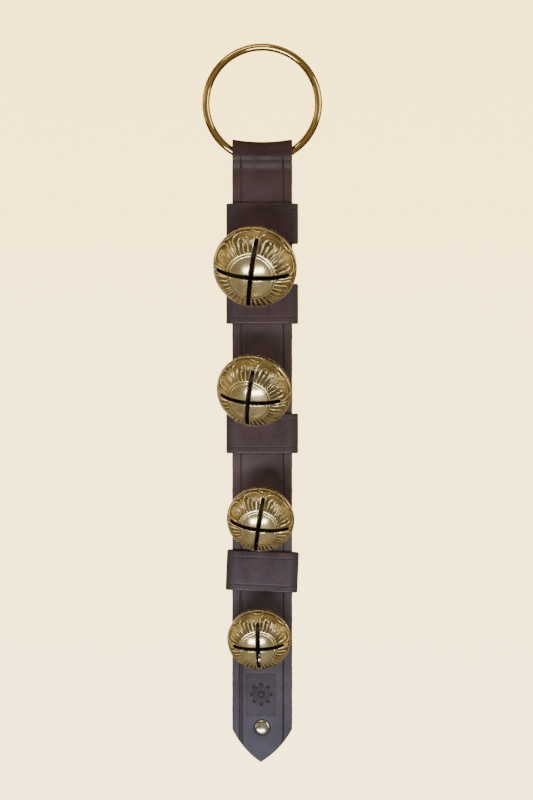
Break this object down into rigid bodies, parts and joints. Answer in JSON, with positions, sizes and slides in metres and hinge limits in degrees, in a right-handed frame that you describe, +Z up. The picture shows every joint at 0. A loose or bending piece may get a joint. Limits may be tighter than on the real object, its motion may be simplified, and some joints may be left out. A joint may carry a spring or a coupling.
{
  "type": "sleigh bells",
  "caption": "Hanging strap of graduated cast petal bells on folded leather with a brass ring, leather keepers and a tip rivet.",
  "frame": {"origin": "inside top of the hanging ring, where a nail or hook carries it", "axes": "+Z up along the hanging strap, -Y the side with the bells, +Y towards the wall, +X to the right seen from the front"},
  "size_m": [0.0762, 0.0597, 0.4559],
  "materials": {
    "brass_ring": "polished",
    "brass_bell": "polished, dark in the recesses",
    "leather_strap": "dark brown, smooth, waxed",
    "leather_keeper": "dark brown, smooth, waxed",
    "steel_pellet": "bright",
    "steel_pin": "plain wire",
    "brass_washer": "dull",
    "rivet_metal": "pale, polished",
    "staple_steel": "plain wire"
  },
  "bodies": {
    "hanging_ring": {"hanging_ring": "brass_ring"},
    "strap": {"strap_fold": "leather_strap", "strap_front": "leather_strap", "strap_back": "leather_strap", "tip_rivet_cap": "rivet_metal", "tip_rivet_post": "rivet_metal"},
    "keeper_1": {"keeper_1": "leather_keeper", "keeper_staples_1": "staple_steel"},
    "keeper_2": {"keeper_2": "leather_keeper", "keeper_staples_2": "staple_steel"},
    "keeper_3": {"keeper_3": "leather_keeper", "keeper_staples_3": "staple_steel"},
    "keeper_4": {"keeper_4": "leather_keeper", "keeper_staples_4": "staple_steel"},
    "swivel_1": {"shank_pin_1": "steel_pin", "shank_washer_1": "brass_washer"},
    "bell_1": {"bell_1": "brass_bell", "bell_shank_1": "brass_bell"},
    "pellet_1": {"pellet_1": "steel_pellet"},
    "swivel_2": {"shank_pin_2": "steel_pin", "shank_washer_2": "brass_washer"},
    "bell_2": {"bell_2": "brass_bell", "bell_shank_2": "brass_bell"},
    "pellet_2": {"pellet_2": "steel_pellet"},
    "swivel_3": {"shank_pin_3": "steel_pin", "shank_washer_3": "brass_washer"},
    "bell_3": {"bell_3": "brass_bell", "bell_shank_3": "brass_bell"},
    "pellet_3": {"pellet_3": "steel_pellet"},
    "swivel_4": {"shank_pin_4": "steel_pin", "shank_washer_4": "brass_washer"},
    "bell_4": {"bell_4": "brass_bell", "bell_shank_4": "brass_bell"},
    "pellet_4": {"pellet_4": "steel_pellet"}
  },
  "joints": [
    {"name": "strap_swing", "type": "hinge", "parent": "hanging_ring", "child": "strap", "pos_m": [0, 0, -0.0661], "axis": [1, 0, 0], "range_deg": [-90, 0]},
    {"name": "keeper_1_slide", "type": "slide", "parent": "strap", "child": "keeper_1", "axis": [0, 0, 1], "range_m": [0, 0.017]},
    {"name": "keeper_2_slide", "type": "slide", "parent": "strap", "child": "keeper_2", "axis": [0, 0, 1], "range_m": [-0.016, 0.013]},
    {"name": "keeper_3_slide", "type": "slide", "parent": "strap", "child": "keeper_3", "axis": [0, 0, 1], "range_m": [-0.018, 0.017]},
    {"name": "keeper_4_slide", "type": "slide", "parent": "strap", "child": "keeper_4", "axis": [0, 0, 1], "range_m": [-0.009, 0.02]},
    {"name": "bell_1_spin", "type": "hinge", "parent": "strap", "child": "swivel_1", "pos_m": [0.0001, -0.0006, -0.1252], "axis": [0, 1, 0], "range_deg": [-94, 56]},
    {"name": "bell_1_nod", "type": "hinge", "parent": "swivel_1", "child": "bell_1", "pos_m": [0.0001, -0.0006, -0.1252], "axis": [-0.9432, 0, 0.3322], "range_deg": [0, 22]},
    {"name": "pellet_1_roll", "type": "hinge", "parent": "bell_1", "child": "pellet_1", "pos_m": [-0.00453, -0.02999, -0.13836], "axis": [-0.1425, -0.9033, -0.4046], "continuous": true},
    {"name": "bell_2_spin", "type": "hinge", "parent": "strap", "child": "swivel_2", "pos_m": [0.0023, -0.0006, -0.2014], "axis": [0, 1, 0], "range_deg": [-167, 113]},
    {"name": "bell_2_nod", "type": "hinge", "parent": "swivel_2", "child": "bell_2", "pos_m": [0.0023, -0.0006, -0.2014], "axis": [-0.8902, 0, 0.4555], "range_deg": [0, 50]},
    {"name": "pellet_2_roll", "type": "hinge", "parent": "bell_2", "child": "pellet_2", "pos_m": [-0.00507, -0.02838, -0.21579], "axis": [-0.2291, -0.8643, -0.4478], "continuous": true},
    {"name": "bell_3_spin", "type": "hinge", "parent": "strap", "child": "swivel_3", "pos_m": [0.0018, -0.0006, -0.2852], "axis": [0, 1, 0], "continuous": true},
    {"name": "bell_3_nod", "type": "hinge", "parent": "swivel_3", "child": "bell_3", "pos_m": [0.0018, -0.0006, -0.2852], "axis": [-0.9699, 0, 0.2436], "range_deg": [0, 44]},
    {"name": "pellet_3_roll", "type": "hinge", "parent": "bell_3", "child": "pellet_3", "pos_m": [-0.00102, -0.02587, -0.29642], "axis": [-0.1014, -0.9092, -0.4037], "continuous": true},
    {"name": "bell_4_spin", "type": "hinge", "parent": "strap", "child": "swivel_4", "pos_m": [-0.0007, -0.0006, -0.362], "axis": [0, 1, 0], "continuous": true},
    {"name": "bell_4_nod", "type": "hinge", "parent": "swivel_4", "child": "bell_4", "pos_m": [-0.0007, -0.0006, -0.362], "axis": [-0.9919, 0, 0.1271], "range_deg": [0, 38]},
    {"name": "pellet_4_roll", "type": "hinge", "parent": "bell_4", "child": "pellet_4", "pos_m": [-0.00195, -0.02471, -0.37176], "axis": [-0.048, -0.9259, -0.3748], "continuous": true}
  ]
}
